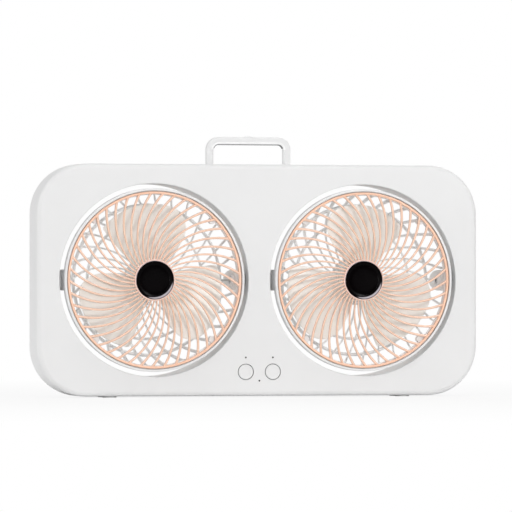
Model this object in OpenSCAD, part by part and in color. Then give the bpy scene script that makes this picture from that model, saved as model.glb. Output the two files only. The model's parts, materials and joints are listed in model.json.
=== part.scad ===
// Desk fan with two round heads that tilt inside one flat body, millimetres.
// The fan stands on z = 0, its front faces -Y, and +X is to the viewer's right.

/* [Body] */
// Width of the body
body_w = 390; // [360:5:430]
// Width of the strip of body between the two openings
middle_strip = 19.2; // [19.2:0.2:24]
// Width of the strip of body beside each opening
side_strip = 19.4; // [18:0.2:24]
// Width of the strip of body above and below the openings
top_strip = 17; // [16:0.5:24]
// Depth of the body from face to face
body_t = 40; // [38:1:44]
// Radius of the body's four corners, seen from the front
corner_r = 43; // [35:1:50]
// Rounding along the edges of the front and back faces
edge_r = 4.3; // [3:0.1:6]
// Wall thickness of the shells
wall = 2; // [1.8:0.1:2.4]
// How far the rubber feet stand below the body
foot_h = 1; // [0.6:0.1:2]
// Radius of a rubber foot
foot_r = 6; // [4:0.5:7]
// Share of half the body's width at which the feet stand
foot_share = 0.667; // [0.5:0.01:0.75]
// Rounding of the openings' front and back edges
mouth_r = 0.8; // [0.6:0.1:1.8]
// Depth of the lip that lines the rear shell up with the front shell
lip_d = 3; // [2:0.5:5]

/* [Heads] */
// Gap between a head's rim and its opening
rim_gap = 4; // [3.6:0.1:5]
// Depth of a head from the rim's front to the guard's back
head_d = 46; // [42:1:46]
// Wall thickness of the rim
rim_wall = 2; // [1.6:0.1:2.2]
// Depth of the rim's hoop
hoop_d = 7; // [6.4:0.1:8]
// Gap between the rim and the front grille that sits in it
grille_gap = 0.8; // [0.4:0.1:1]
// Width of the grille's outer ring
ring_w = 2; // [1.6:0.1:2.4]
// Depth of the grille's outer ring
ring_d = 3; // [2.6:0.1:3.2]
// How far the grille's ring lies behind the front of the rim
ring_inset = 0.5; // [0.2:0.1:0.8]
// Number of spiral ribs in a grille
rib_count = 45; // [30:1:48]
// Turn of a rib for each millimetre of radius, in degrees
rib_turn = 0.565; // [0.4:0.005:0.65]
// Angle at which a front rib leaves the hub, clockwise from the top of the left head
rib_start = -34.5; // [-40:0.5:-30]
// Width of a front rib where it leaves the hub
rib_root_w = 1.2; // [0.9:0.1:1.4]
// Width of a front rib where it meets the ring
rib_tip_w = 2.1; // [1.6:0.1:2.6]
// Depth of the front ribs
rib_d = 2; // [1.5:0.1:2.4]
// Outer radius of the grille's hub ring
hub_ring_r = 17.9; // [16:0.1:20]
// Radius of the black hub cap
cap_r = 16.3; // [14:0.1:16.6]
// Number of ribs in the rear guard
guard_rib_count = 30; // [24:1:40]
// Width of the rear guard's ribs
guard_rib_w = 1.4; // [1.2:0.1:2]
// Thickness of the rear guard
guard_t = 2.5; // [2:0.1:3]
// Radius of the curve between the guard's side and its flat back
guard_curve = 35; // [30:1:35]
// Distances of the two rings that tie the guard's ribs together, in from the guard's outside
guard_ring_in = [26, 12];

/* [Fan] */
// Gap between the blade tips and the inside of the guard
tip_gap = 9; // [6.3:0.1:14]
// Radius of the fan's hub
hub_r = 18; // [16:0.5:20]
// Number of blades
blade_count = 3; // [2:1:3]
// Angle that one blade spans
blade_span = 82; // [60:1:95]
// Angle of the first blade's square corner, clockwise from the top of the left head
blade_start = 77.5; // [60:0.5:90]
// Axial depth of a blade at the hub
blade_d_root = 14; // [11:0.5:14.5]
// Axial depth of a blade at its tip
blade_d_tip = 13; // [8:0.5:14]
// Thickness of a blade at its thickest
blade_t = 1.6; // [1.2:0.1:2]

/* [Motor] */
// Radius of the motor can
can_r = 15.6; // [14:0.1:15.8]
// Length of the motor can
can_l = 14.4; // [12:0.1:14.8]
// Radius of the motor shaft
shaft_r = 1.5; // [1.2:0.1:2]
// Wall of the cup that holds the motor
cup_wall = 2; // [1.6:0.1:2.4]

/* [Tilt pivots] */
// Radius of a tilt pin
pin_r = 3; // [2.5:0.1:3.5]
// Radius of the hole through a tilt pin
pin_bore_r = 1.5; // [1.2:0.1:1.7]
// Radius of the boss round a tilt pin
boss_r = 8; // [7:0.5:8.5]
// Outer radius of a tilt bush
bush_r = 6; // [5:0.1:6.4]
// Half the height of the lug that carries a boss
lug_r = 9; // [9:0.5:12]

/* [Handle] */
// Width of the handle
handle_w = 75; // [66:1:80]
// Height of the handle above the body when it is pulled out
handle_h = 24.5; // [22:0.5:28]
// How far the middle of the handle stands to the left of the middle of the body
handle_off = 2.2; // [0:0.1:3]
// Width of the handle's bar and legs, seen from the front
handle_bar = 7; // [6:0.5:8]
// Depth of the handle's bar and legs
handle_t = 6; // [5:0.5:6]
// Outer corner radius of the handle
handle_corner = 11; // [9:0.5:14]
// Length of leg that stays in the body when the handle is pulled out
leg_in = 17; // [14:0.5:17.4]
// Width of the finger ridge on the handle's bar
ridge_w = 6.5; // [5:0.5:10]
// Height of the finger ridge
ridge_h = 0.9; // [0.5:0.1:1.2]

/* [Controls] */
// Distance between the centres of the two push buttons
button_pitch = 24; // [20:1:30]
// Height of the push buttons above the bottom of the body
button_up = 20.8; // [18:0.1:24]
// Radius of a push button
button_r = 6.7; // [5:0.1:7]
// How far a button stands out of the front face
button_proud = 0.4; // [0.2:0.1:1]
// Travel of a push button
button_travel = 0.6; // [0.3:0.1:0.8]
// Height of the two upper lights above the bottom of the body
light_up = 33.2; // [31:0.1:36]
// Height of the lower light above the bottom of the body
light_low = 13.1; // [11:0.1:14]
// Radius of a light
light_r = 0.7; // [0.5:0.1:1.2]

/* [Power] */
// Radius of a battery cell
cell_r = 7.1; // [6.5:0.1:7.3]
// Length of a battery cell
cell_l = 49.5; // [44:0.5:50]
// Width of the mouth of the charging socket
socket_w = 9; // [8:0.1:10]
// Height of the mouth of the charging socket
socket_h = 3.3; // [3:0.1:3.6]
// Height of the charging socket above the bottom of the body
socket_up = 54; // [52:1:60]

/* [Fastenings] */
// Radius of the shell screws' shanks
screw_r = 1.4; // [1.2:0.1:1.6]
// Radius of the screw posts in the shells
post_r = 4.6; // [4.2:0.1:5.2]

/* [Hidden] */
$fn = 64;

white = "whitesmoke";
peach = "peachpuff";
black = "black";
steel = "silver";
brass = "peru";

small_screw_r = 0.9;   // shank of the small screws in boards, covers and guards
small_head_r = 1.9;
small_head_h = 1.2;
slip = 0.2;            // clearance of a piece seated in another
run = 0.03;            // radial running clearance of a pin or shaft in its bush
apart = 0.4;           // gap between pieces that move past each other
eps = 0.01;
far = 600;

opening_r = (body_w - middle_strip - 2 * side_strip) / 4;
head_pitch = 2 * opening_r + middle_strip;
body_h = 2 * (opening_r + top_strip);
foot_reach = foot_share * body_w / 2;
foot_seat = 1.2;                         // depth of the recess that a foot is glued into
axis_z = foot_h + body_h / 2;
face = body_t / 2;                       // front face, measured from the middle plane
floor_y = -body_h / 2;                   // bottom of the body, measured from the tilt axis
tube_r = opening_r + wall;               // outside of the wall round an opening

// Depths in a head count forward from the tilt axis
rim_r = opening_r - rim_gap;
rim_front = head_d / 2;
guard_back = -head_d / 2;
hoop_back = rim_front - hoop_d;
rim_in = rim_r - rim_wall;
ring_r = rim_in - grille_gap;
ring_in = ring_r - ring_w;
ring_front = rim_front - ring_inset;
ring_back = ring_front - ring_d;
ledge_t = 1.5;
ledge_back = ring_back - ledge_t;
ledge_in = ring_in + 0.4;
rib_front = ring_front - 0.4;
hub_plate_back = rib_front - 3;
guard_r = rim_in;
guard_in = guard_r - guard_t;
guard_mid_r = guard_r - guard_curve;     // radius at which the flat back begins
guard_turn = guard_back + guard_curve;   // depth at which the curve meets the straight side
guard_rings = [for (i = guard_ring_in) guard_r - i];
tip_r = guard_in - tip_gap;
flange_in = ledge_in - 1.2;
screw_circle = ledge_in - 2.2;
tab_r = 3;                               // radius of the tabs that the guard's screws pass
tab_back = hoop_back - 2.4;
guard_band = 3;                          // depth of the band that ends the guard's ribs
guard_ring_w = 2;
boss_face = opening_r - 1;
washer_t = 0.8;
seat_face = opening_r + 0.4;             // flat seat cut round each pivot in the opening's wall
bush_in = seat_face - 0.2;
bush_out = opening_r + 7.4;
bush_flange = 1.2;
bush_flange_r = bush_r + 1.4;
bush_land = 4;                           // plastic round a bush
seat_gap = 0.6;                          // room round a boss in the flat seat beside it
pin_in = rim_r - 8.5;
pin_out = bush_out + bush_flange - 0.1;

// Motor and fan, along the head's axis
can_back = guard_back + guard_t + 0.1;
can_front = can_back + can_l;
can_wall = 1;
bearing_r = 3.5;
bearing_l = 3;
cup_in = can_r + slip;
cup_r = cup_in + cup_wall;
guard_plate_r = cup_r + 1.2;             // radius of the closed plate behind the motor
cover_t = 1.6;
cover_front = can_front + cover_t;
cover_ear = cup_r + 1.4;
ear_r = 2.4;
hub_back = cover_front + 1.9;
hub_front = 13;
hub_wall = 2;
fan_mid = hub_back + 7.5;                // depth of the middle of a blade
shaft_front = hub_front + 3;
shaft_back = can_back + 0.8;
lead_r = 0.8;
lead_exit = can_front - 7;               // depth at which the lead leaves the motor
lead_back = guard_back + guard_t + lead_r + 0.3;
corner_tip_r = tip_r - 5;                // radius of a blade's square corner
blade_inner = 12;                        // least height of a blade above the hub at its rounded edge
corner_round = 1.5;

// Handle, in the rear half of the body
handle_z = -(face - wall - 0.5 - handle_t / 2);
leg_x = handle_w / 2 - handle_bar / 2;
top_y = body_h / 2;
bar_edge = 1.3;                          // rounding along the handle's bar and legs
heel_h = 2.4;                            // heel that stops a leg at the top of its travel
heel_w = handle_bar + 2.5;
heel_gap = 0.3;
guide_l = leg_in - edge_r - heel_h - heel_gap;
guide_wall = 1.6;
pad_w = 3.8;
pad_t = 1.4;

// Controls behind the front wall
button_y = floor_y + button_up;
board_t = 1.6;
board_front = face - 10.6;
board_margin = 12;
board_w = button_pitch + 2 * board_margin;
board_top = floor_y + light_up + 6.8;
board_h = light_up - light_low + 9.9;
board_post_r = 2.4;
board_post_x = board_w / 2 - 3;
board_post_y = [board_top - 3, board_top - board_h + 3];
switch_w = 6;
switch_d = 3.2;
plunger_r = 1.7;
plunger_l = 1.8;
plunger_front = board_front + switch_d + 1;
flange_r = button_r + 1.5;
button_d = 3.7;                          // depth of a button behind the front face
button_stem_r = 1.9;
collar_l = 6;
collar_wall = 1.4;

// Battery cradle low in the rear half
cradle_wall = 1.5;
cradle_back = -(face - wall);
cell_z = cradle_back + cradle_wall + cell_r;
cell_pitch = 2 * cell_r + 1.2;
cradle_y = floor_y + 2 * wall + slip + 0.3;               // bottom of the cradle, above the shell's lip
cell_y = [cradle_y + cradle_wall + cell_r, cradle_y + cradle_wall + cell_r + cell_pitch];
contact_gap = 2.5;
cradle_w = cell_l + 2 * contact_gap + 2 * cradle_wall;
cradle_h = 2 * cell_r + cell_pitch + 2 * cradle_wall;
cradle_d = 1.75 * cell_r;

// Places of the posts that hold the two shells together
post_in = 10;          // distance of the other posts from the body's edge
post_out = 25;         // distance of a corner post from the centre of the corner's curve
corner_post = [body_w / 2, body_h / 2] - [1, 1] * (corner_r - post_out * cos(45));
SHELL_POSTS = concat(
    [for (i = [-1, 1], j = [-1, 1]) [i * corner_post.x, j * corner_post.y]],
    [for (i = [-1, 1]) [i * (handle_w / 2 + post_in), floor_y + post_in]],
    [for (i = [-1, 1]) [i * (handle_w / 2 + 1.75 * post_in), top_y - post_in]]
);

// Frames
// Work in these is drawn as the viewer sees it: x right, y up from the tilt axis, z towards the viewer
module facing() translate([0, 0, axis_z]) rotate([90, 0, 0]) children();
module left() facing() translate([-head_pitch / 2, 0, 0]) children();
module right() mirror([1, 0, 0]) left() children();

// Turns a profile drawn as radius and depth round a head's axis
module turned() rotate_extrude() children();
// Thickens an outline between two depths
module between(back, front) translate([0, 0, back]) linear_extrude(front - back) children();
// A cylinder along x between two places
module along_x(from, to, r) translate([from, 0, 0]) rotate([0, 90, 0]) cylinder(r = r, h = to - from);
module annulus(r_out, r_in) difference() { circle(r_out); circle(r_in); }
module both_sides() { children(); mirror([1, 0, 0]) children(); }
// The places of the screws that hold a motor's cover, above and below the motor
module cover_ears() rotate(90) both_sides() translate([cover_ear, 0, 0]) children();

module round_rect(w, h, r) {
    square([w - 2 * r, h], center = true);
    square([w, h - 2 * r], center = true);
    for (i = [-1, 1], j = [-1, 1]) translate([i * (w / 2 - r), j * (h / 2 - r)]) circle(r);
}

// A slab with round corners of radius r and edges of radius e on both faces
module soft_slab(w, h, t, r, e) {
    for (i = [-1, 1], j = [-1, 1]) translate([i * (w / 2 - r), j * (h / 2 - r), 0])
        rotate_extrude() intersection() {
            round_rect(2 * r, t, e);
            translate([0, -t / 2]) square([r, t]);
        }
    rotate([90, 0, 90]) linear_extrude(w - 2 * r, center = true) round_rect(h, t, e);
    rotate([90, 0, 0]) linear_extrude(h - 2 * r, center = true) round_rect(w, t, e);
}

// Spiral ribs
// A place at radius r and angle a, clockwise from the top
function clock(r, a) = [r * sin(a), r * cos(a)];
function rib_angle(r) = rib_start + rib_turn * (r - hub_ring_r);
// A place on one edge of a rib of width w, side 1 or -1
function rib_edge(r, w, side) =
    let (a = rib_angle(r), q = r * rib_turn * PI / 180, n = [cos(a) - q * sin(a), -sin(a) - q * cos(a)])
    clock(r, a) + side * w / 2 * n / norm(n);
// Centre and radius of the circle through three places
function circle_through(a, b, c) =
    let (d = 2 * (a.x * (b.y - c.y) + b.x * (c.y - a.y) + c.x * (a.y - b.y)),
         x = (a * a * (b.y - c.y) + b * b * (c.y - a.y) + c * c * (a.y - b.y)) / d,
         y = (a * a * (c.x - b.x) + b * b * (a.x - c.x) + c * c * (b.x - a.x)) / d)
    [[x, y], norm([x, y] - a)];
function rib_arc(r_in, r_out, w_in, w_out, side) = circle_through(
    rib_edge(r_in, w_in, side),
    rib_edge((r_in + r_out) / 2, (w_in + w_out) / 2, side),
    rib_edge(r_out, w_out, side));

// One rib between two radii, bounded by an arc on each side
module rib(r_in, r_out, w_in, w_out) {
    outer = rib_arc(r_in, r_out, w_in, w_out, -1);
    inner = rib_arc(r_in, r_out, w_in, w_out, 1);
    intersection() {
        difference() {
            translate(outer[0]) circle(outer[1]);
            translate(inner[0]) circle(inner[1]);
        }
        annulus(r_out, r_in);
        rotate(atan2(outer[0].y, outer[0].x)) translate([-far, 0]) square([2 * far, far]);
    }
}
module ribs(count, r_in, r_out, w_in, w_out)
    for (i = [0 : count - 1]) rotate(i * 360 / count) rib(r_in, r_out, w_in, w_out);

// Body shells
// The cutter for one opening, with rounded edges at both faces
module opening() {
    translate([0, 0, -far / 2]) cylinder(r = opening_r, h = far);
    for (s = [0, 1]) mirror([0, 0, s]) turned() difference() {
        translate([opening_r - eps, face - mouth_r]) square(mouth_r + eps);
        translate([opening_r + mouth_r, face - mouth_r]) circle(mouth_r);
    }
}
// Seats for the tilt bushes, and what is cut through them
module bush_seats() both_sides() for (s = [-1, 1]) translate([-head_pitch / 2, 0, 0])
    mirror([(1 + s) / 2, 0, 0]) along_x(opening_r + 1, bush_out, bush_r + bush_land);
module bush_cuts() both_sides() for (s = [-1, 1]) translate([-head_pitch / 2, 0, 0])
    mirror([(1 + s) / 2, 0, 0]) {
        along_x(opening_r - 2, bush_out + eps, bush_r + slip / 4);
        along_x(opening_r - 2, seat_face, boss_r + seat_gap);
    }
// What both shells share, in the half that side names: 1 front, -1 rear
module shell_half(side) difference() {
    union() {
        difference() {
            soft_slab(body_w, body_h, body_t, corner_r, edge_r);
            soft_slab(body_w - 2 * wall, body_h - 2 * wall, body_t - 2 * wall, corner_r - wall, edge_r - wall);
        }
        for (i = [-1, 1]) translate([i * head_pitch / 2, 0, 0]) between(-face + 1, face - 1) circle(tube_r);
        bush_seats();
        for (p = SHELL_POSTS) translate(p) between(-face + 1, face - 1) circle(post_r);
    }
    for (i = [-1, 1]) translate([i * head_pitch / 2, 0, 0]) opening();
    bush_cuts();
    for (i = [-1, 1]) translate([i * foot_reach, floor_y - 1, side * face / 2])
        rotate([-90, 0, 0]) cylinder(r = foot_r + slip / 2, h = 1 + foot_seat);
    translate([0, 0, -side * far / 2]) cube(far, center = true);
}

// A band along the inside of the body's wall, between two distances from its inner face
module lip_outline(from, to) difference() {
    round_rect(body_w - 2 * (wall + from), body_h - 2 * (wall + from), corner_r - wall - from);
    round_rect(body_w - 2 * (wall + to), body_h - 2 * (wall + to), corner_r - wall - to);
}

module front_shell() color(white) facing() difference() {
    union() {
        shell_half(1);
        // Collars that guide the push buttons
        for (i = [-1, 1]) translate([i * button_pitch / 2, button_y, 0])
            between(face - collar_l, face - 1) annulus(flange_r + apart + collar_wall, flange_r + apart);
        // Posts for the control board
        for (i = [-1, 1], y = board_post_y) translate([i * board_post_x, y, 0])
            between(board_front, face - 1) circle(board_post_r);
    }
    for (i = [-1, 1]) translate([i * button_pitch / 2, button_y, 0])
        between(face - 3, face + 1) circle(button_r + apart);
    for (i = [-1, 1], y = board_post_y) translate([i * board_post_x, y, 0])
        between(board_front - 1, board_front + 5) circle(small_screw_r);
    lights() between(face - 5, face + 1) circle(light_r + 0.05);
    for (p = SHELL_POSTS) translate(p) between(-1, screw_end + 2) circle(screw_r - slip);
}

module rear_shell() color(white) facing() difference() {
    union() {
        shell_half(-1);
        // Lip that fits inside the front shell, on a step along the rear shell's wall
        between(-lip_d, lip_d) lip_outline(slip, wall + slip);
        between(-lip_d, 0) lip_outline(-wall / 2, wall + slip);
        // Posts that carry the charging board
        for (i = [-1, 1]) translate([i * (charge_w / 2 - 2), charge_y - charge_t - 1.5, 0])
            between(-face + 1, -face + 8) square([3, 3], center = true);
    }
    for (p = SHELL_POSTS) translate(p) {
        between(-far, far) circle(screw_r + slip);
        between(-face - 1, -screw_seat) circle(screw_head_r + slip);
    }
    // Slots for the legs of the handle
    for (i = [-1, 1]) translate([i * leg_x - handle_off, top_y, handle_z]) rotate([90, 0, 0])
        between(-edge_r, edge_r) round_rect(handle_bar + 2 * apart, handle_t + 2 * apart, bar_edge + apart);
    // Mouth of the charging socket
    translate([0, floor_y + socket_up, 0]) between(-face - 1, -face + 9)
        round_rect(socket_w + 1.3, socket_h + 1.3, (socket_h + 1.3) / 2 - eps);
}

screw_seat = 12;       // distance of a shell screw's head behind the middle plane
screw_end = 8;
screw_head_r = 3;
screw_head_h = 1.8;
module shell_screws() color(steel) facing() for (p = SHELL_POSTS) translate(p) {
    between(-screw_seat, screw_end) circle(screw_r - slip);
    difference() {
        between(-screw_seat - screw_head_h, -screw_seat) circle(screw_head_r);
        // Cross recess
        between(-screw_seat - screw_head_h - 1, -screw_seat - screw_head_h / 2) for (a = [0, 90]) rotate(a)
            square([3.2, 0.7], center = true);
    }
}

module rubber_feet() color("gainsboro") facing() for (i = [-1, 1], s = [-1, 1])
    translate([i * foot_reach, floor_y - foot_h, s * face / 2]) rotate([-90, 0, 0])
        cylinder(r = foot_r, h = foot_h + foot_seat);

module tilt_bushes() color(brass) facing() both_sides() for (s = [-1, 1])
    translate([-head_pitch / 2, 0, 0]) mirror([(1 + s) / 2, 0, 0]) difference() {
        union() {
            along_x(bush_in, bush_out, bush_r);
            along_x(bush_out, bush_out + bush_flange, bush_flange_r);
        }
        along_x(0, far, pin_r + run);
    }

// Handle
module bar_section() round_rect(handle_bar, handle_t, bar_edge);
module handle() color(white) facing() translate([-handle_off, 0, handle_z]) {
    mid_r = handle_corner - handle_bar / 2;
    leg_top = top_y + handle_h - handle_corner;
    both_sides() {
        translate([leg_x, leg_top, 0]) rotate([90, 0, 0])
            linear_extrude(handle_h - handle_corner + leg_in) bar_section();
        translate([handle_w / 2 - handle_corner, leg_top, 0])
            rotate_extrude(angle = 90) translate([mid_r, 0]) bar_section();
        translate([leg_x, top_y - leg_in + heel_h / 2, 0]) cube([heel_w, heel_h, handle_t], center = true);
    }
    translate([0, leg_top + mid_r, 0]) rotate([90, 0, 90])
        linear_extrude(handle_w - 2 * handle_corner, center = true) bar_section();
    // Finger ridge on top of the bar
    ridge_r = (ridge_w * ridge_w / 4 + ridge_h * ridge_h) / (2 * ridge_h);
    intersection() {
        translate([0, top_y + handle_h + ridge_h - ridge_r, 0])
            cylinder(r = ridge_r, h = handle_t - 2, center = true);
        translate([0, top_y + handle_h, 0]) cube([ridge_w, 3, handle_t], center = true);
    }
}

module handle_guides() color(white) facing() translate([-handle_off, 0, 0]) both_sides()
    translate([leg_x, top_y - edge_r - guide_l, handle_z]) difference() {
        w = handle_bar + 2 * apart;
        back = -handle_z - face + wall;
        front = handle_t / 2 + apart - 0.1;
        translate([-w / 2 - guide_wall, 0, back]) cube([w + 2 * guide_wall, guide_l, front + guide_wall - back]);
        translate([-w / 2, -1, back - 1]) cube([w, guide_l + 2, front - back + 1]);
        // Window for the friction pad
        translate([-pad_w / 2 - 0.1, 2, front - 1]) cube([pad_w + 0.2, guide_l - 4, guide_wall + 2]);
    }
module handle_pads() color("gray") facing() translate([-handle_off, 0, 0]) both_sides()
    translate([leg_x - pad_w / 2, top_y - edge_r - guide_l + 2.1, handle_z + handle_t / 2 + apart])
        cube([pad_w, guide_l - 4.2, pad_t]);

// Controls
module button() color(white) facing() translate([-button_pitch / 2, button_y, 0]) {
    turned() difference() {
        translate([0, face - button_d]) square([button_r, button_d + button_proud]);
        translate([button_r - 0.5, face + button_proud - 0.5]) difference() {
            square(1);
            circle(0.5);
        }
    }
    between(face - button_d, face - wall - 0.3) circle(flange_r);
    between(plunger_front, face - button_d + 0.1) circle(button_stem_r);
}
module plunger() color(black) facing() translate([-button_pitch / 2, button_y, 0])
    between(plunger_front - plunger_l, plunger_front) circle(plunger_r);
module left_button() button();
module right_button() mirror([1, 0, 0]) button();
module left_plunger() plunger();
module right_plunger() mirror([1, 0, 0]) plunger();

module switches() color(black) facing() for (i = [-1, 1])
    translate([i * button_pitch / 2, button_y, 0]) difference() {
        between(board_front, board_front + switch_d) square(switch_w, center = true);
        between(plunger_front - plunger_l - button_travel - 0.3, far) circle(plunger_r + 0.1);
    }
module control_board() color("darkgreen") facing() difference() {
    translate([0, board_top - board_h / 2, 0]) between(board_front - board_t, board_front)
        round_rect(board_w, board_h, 2);
    for (i = [-1, 1], y = board_post_y) translate([i * board_post_x, y, 0]) between(-face, face) circle(1.2);
}
module board_screws() color(steel) facing() for (i = [-1, 1], y = board_post_y)
    translate([i * board_post_x, y, 0]) {
        between(board_front - board_t, board_front + 4) circle(small_screw_r - slip / 4);
        between(board_front - board_t - small_head_h, board_front - board_t) circle(small_head_r);
    }
// The three places where a light shows
module lights() {
    for (i = [-1, 1]) translate([i * button_pitch / 2, floor_y + light_up, 0]) children();
    translate([0, floor_y + light_low, 0]) children();
}
module light_pipes() color("lightgray") facing() lights() {
    between(board_front, face) circle(light_r);
    between(board_front, board_front + 2) circle(light_r + 0.8);
}

// Power
module battery_cells() color("steelblue") facing() for (y = cell_y) translate([0, y, cell_z])
    along_x(-cell_l / 2, cell_l / 2, cell_r);
module battery_cradle() color("dimgray") facing() difference() {
    translate([-cradle_w / 2, cradle_y, cradle_back]) cube([cradle_w, cradle_h, cradle_d]);
    for (y = cell_y) translate([0, y, cell_z])
        along_x(-cradle_w / 2 + cradle_wall, cradle_w / 2 - cradle_wall, cell_r + slip / 2);
}
module battery_contacts() color(steel) facing() for (y = cell_y) translate([0, y, cell_z]) both_sides() {
    along_x(cell_l / 2 + 0.05, cell_l / 2 + contact_gap, 3);
    along_x(cell_l / 2 + contact_gap - 0.6, cell_l / 2 + contact_gap, 6);
}
charge_w = 18;
charge_t = 1.2;
charge_d = 14;
charge_y = floor_y + socket_up - socket_h / 2 - 0.5;      // top of the charging board
charge_end = -face + wall + 0.1 + charge_d;
module charge_socket() color(steel) facing() translate([0, floor_y + socket_up, 0]) difference() {
    between(-face + 0.2, -face + 8.6) round_rect(socket_w + 1, socket_h + 1, socket_h / 2 + 0.5 - eps);
    between(-face, -face + 7.8) round_rect(socket_w, socket_h, socket_h / 2 - eps);
    between(-face + 8, far) square(far, center = true);
}
module charge_board() color("darkgreen") facing()
    translate([-charge_w / 2, charge_y - charge_t, charge_end - charge_d]) cube([charge_w, charge_t, charge_d]);

// A round lead through a list of places that lie in one plane, square to flat, with mitred bends
function unit(v) = v / norm(v);
module lead(places, r, flat) {
    sides = 8;
    n = len(places);
    way = [for (i = [0 : n - 2]) unit(places[i + 1] - places[i])];
    rings = [for (i = [0 : n - 1])
        let (a = way[max(i - 1, 0)], b = way[min(i, n - 2)], t = unit(a + b), m = cross(t, flat) / (t * a))
        for (k = [0 : sides - 1]) places[i] + r * (cos(360 * k / sides) * flat + sin(360 * k / sides) * m)];
    function at(i, k) = i * sides + k % sides;
    polyhedron(rings, concat(
        [[for (k = [sides - 1 : -1 : 0]) k]],
        [for (i = [0 : n - 2], k = [0 : sides - 1], t = [
            [at(i, k), at(i + 1, k + 1), at(i + 1, k)], [at(i, k), at(i, k + 1), at(i + 1, k + 1)]]) t],
        [[for (k = [0 : sides - 1]) at(n - 1, k)]]));
}
module wiring() color("dimgray") facing() {
    start_z = board_front - board_t - lead_r - 0.1;
    lead_x = 5;
    // From the control board to the charging board
    lead([[-lead_x, board_top - 6, start_z], [-lead_x, board_top + 1, start_z],
        [-lead_x, charge_y - charge_t / 2, charge_end + 3], [-lead_x, charge_y - charge_t / 2, charge_end + 0.1]],
        lead_r, [1, 0, 0]);
    // From the control board up to the mouths of the two inner tilt pins
    lead([[0, board_top - 6, start_z], [0, board_top + 2, start_z], [0, charge_y + 8, 0], [0, lead_r, 0]],
        lead_r, [1, 0, 0]);
}

// Heads
// The part of a head's side that carries a tilt boss, seen along the tilt axis
module lug_outline(r, reach) {
    circle(r);
    translate([0, -r]) square([reach, 2 * r]);
}
// Stands an outline across the tilt axis, its x towards the front, between two places along the axis
module across(from, to) translate([from, 0, 0]) rotate([0, -90, 0]) mirror([0, 0, 1])
    linear_extrude(to - from) children();

module rim() color(white) difference() {
    union() {
        turned() {
            difference() {
                translate([rim_in, hoop_back]) square([rim_wall, hoop_d]);
                translate([rim_r - 0.7, rim_front - 0.7]) difference() { square(1); circle(0.7); }
            }
            translate([ledge_in, ledge_back]) square([rim_in - ledge_in + eps, ledge_t]);
        }
        for (a = [45 : 90 : 315]) rotate(a) translate([screw_circle, 0, 0])
            between(ledge_back, ring_back) circle(tab_r);
        both_sides() {
            intersection() {
                between(-lug_r - 1, hoop_back + 1) annulus(rim_r, rim_in + slip);
                across(0, far) lug_outline(lug_r, rim_front - 1);
            }
            along_x(rim_in + slip, boss_face, boss_r);
        }
    }
    both_sides() along_x(0, far, pin_r + slip / 10);
    for (a = [45 : 90 : 315]) rotate(a) translate([screw_circle, 0, 0])
        between(0, ring_back - 0.4) circle(small_screw_r);
}

module front_grille() color(peach) {
    between(ring_back, ring_front) annulus(ring_r, ring_in);
    between(hub_plate_back, ring_front) annulus(hub_ring_r, cap_r + 0.1);
    between(hub_plate_back, hub_plate_back + 1.4) annulus(hub_ring_r, 3);
    between(rib_front - rib_d, rib_front)
        ribs(rib_count, hub_ring_r - 0.5, ring_in + 0.5, rib_root_w, rib_tip_w);
}

// A dished glossy disc on a stub
module hub_cap() color(black) {
    cap_back = hub_plate_back + 1.4;
    cap_front = rim_front - 0.2;
    turned() polygon([
        [0, cap_back], [cap_r, cap_back], [cap_r, cap_front - 0.5], [cap_r - 0.5, cap_front],
        [cap_r - 1.6, cap_front], [cap_r - 3.4, cap_front - 1], [0, cap_front - 1.3]
    ]);
    between(hub_plate_back - 0.6, cap_back + eps) circle(3 - slip / 2);
}

// Half section of the guard's dish, drawn in by inset
module dish(inset) intersection() {
    union() {
        translate([0, guard_back + inset]) square([guard_mid_r, far]);
        translate([guard_mid_r, guard_turn]) circle(guard_curve - inset);
        translate([0, guard_turn]) square([guard_r - inset, far]);
    }
    translate([0, -far]) square([far, far + hoop_back]);
}
module rear_guard() color(white) difference() {
    union() {
        intersection() {
            turned() difference() { dish(0); dish(guard_t); }
            union() {
                between(guard_back - 1, hoop_back + 1) {
                    mirror([1, 0, 0])
                        ribs(guard_rib_count, cup_r - 1, guard_r + 0.5, guard_rib_w, guard_rib_w + 0.4);
                    for (r = guard_rings) annulus(r + guard_ring_w / 2, r - guard_ring_w / 2);
                    circle(guard_plate_r);
                }
                between(hoop_back - guard_band, hoop_back + 1) circle(guard_r + 1);
                both_sides() across(guard_mid_r, far) lug_outline(lug_r, rim_front);
            }
        }
        between(hoop_back - 1, ledge_back) annulus(rim_in - slip / 2, flange_in);
        // Each circle starts at its inner side, so that its seam stays clear of the rim
        for (a = [45 : 90 : 315]) rotate(a) translate([screw_circle, 0, 0])
            between(tab_back, ledge_back) rotate(180) circle(tab_r);
        // Cup that holds the motor, with two ears for the cover's screws
        between(guard_back + guard_t - 1, can_front) {
            annulus(cup_r, cup_in);
            difference() {
                cover_ears() circle(ear_r);
                circle(cup_in);
            }
        }
        both_sides() along_x(pin_in + 0.5, guard_r - 2, pin_r + 2.5);
    }
    both_sides() along_x(0, far, pin_r + slip / 10);
    for (a = [45 : 90 : 315]) rotate(a) translate([screw_circle, 0, 0])
        between(0, far) circle(small_screw_r + slip);
    cover_ears() between(can_front - 6, far) circle(small_screw_r);
    // Hole for the motor's lead
    translate([0, 0, lead_exit]) along_x(cup_in - 1, cup_r + 1, lead_r + 0.3);
}
module guard_screws() color(steel) for (a = [45 : 90 : 315]) rotate(a) translate([screw_circle, 0, 0]) {
    between(tab_back - small_head_h, tab_back) circle(small_head_r);
    between(tab_back, ring_back - 0.6) circle(small_screw_r);
}

module tilt_pins() color(steel) both_sides() difference() {
    along_x(pin_in, pin_out, pin_r);
    along_x(0, far, pin_bore_r);
}
module friction_washers() color(black) both_sides() difference() {
    along_x(boss_face, boss_face + washer_t, boss_r - 1);
    along_x(0, far, pin_r + slip / 2);
}

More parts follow.
